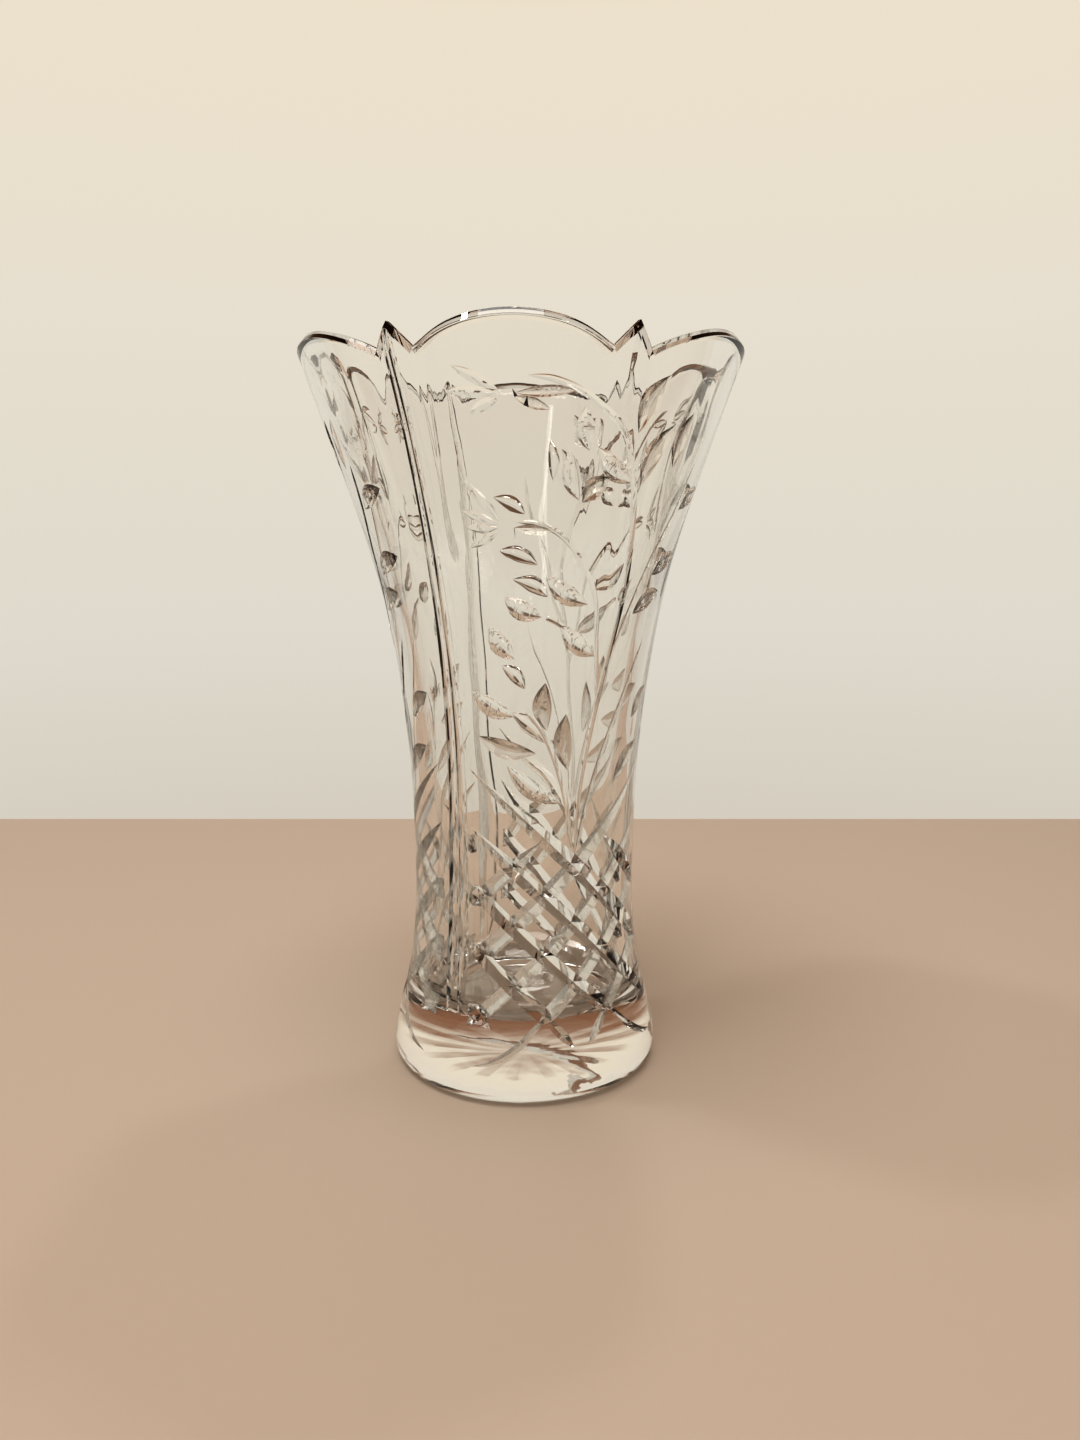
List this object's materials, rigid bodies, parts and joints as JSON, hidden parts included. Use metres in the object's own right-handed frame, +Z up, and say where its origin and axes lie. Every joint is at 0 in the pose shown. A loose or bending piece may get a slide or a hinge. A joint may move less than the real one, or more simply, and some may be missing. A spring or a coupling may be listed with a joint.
{
  "type": "cut crystal vase",
  "caption": "Flared clear crystal vase with a lobed and pointed rim, cut sprig panels between plain fluted columns, and a solid foot.",
  "frame": {"origin": "centre of the underside, on the surface the vase stands on", "axes": "+Z up along the vase's axis; -Y through the middle of one cut panel and the rim peak above it"},
  "size_m": [0.1232, 0.12, 0.203],
  "materials": {
    "lead_crystal": "clear colourless lead crystal, fire-polished plain faces and bright acid-polished cuts"
  },
  "bodies": {
    "root": {"vase_body": "lead_crystal"}
  },
  "joints": []
}
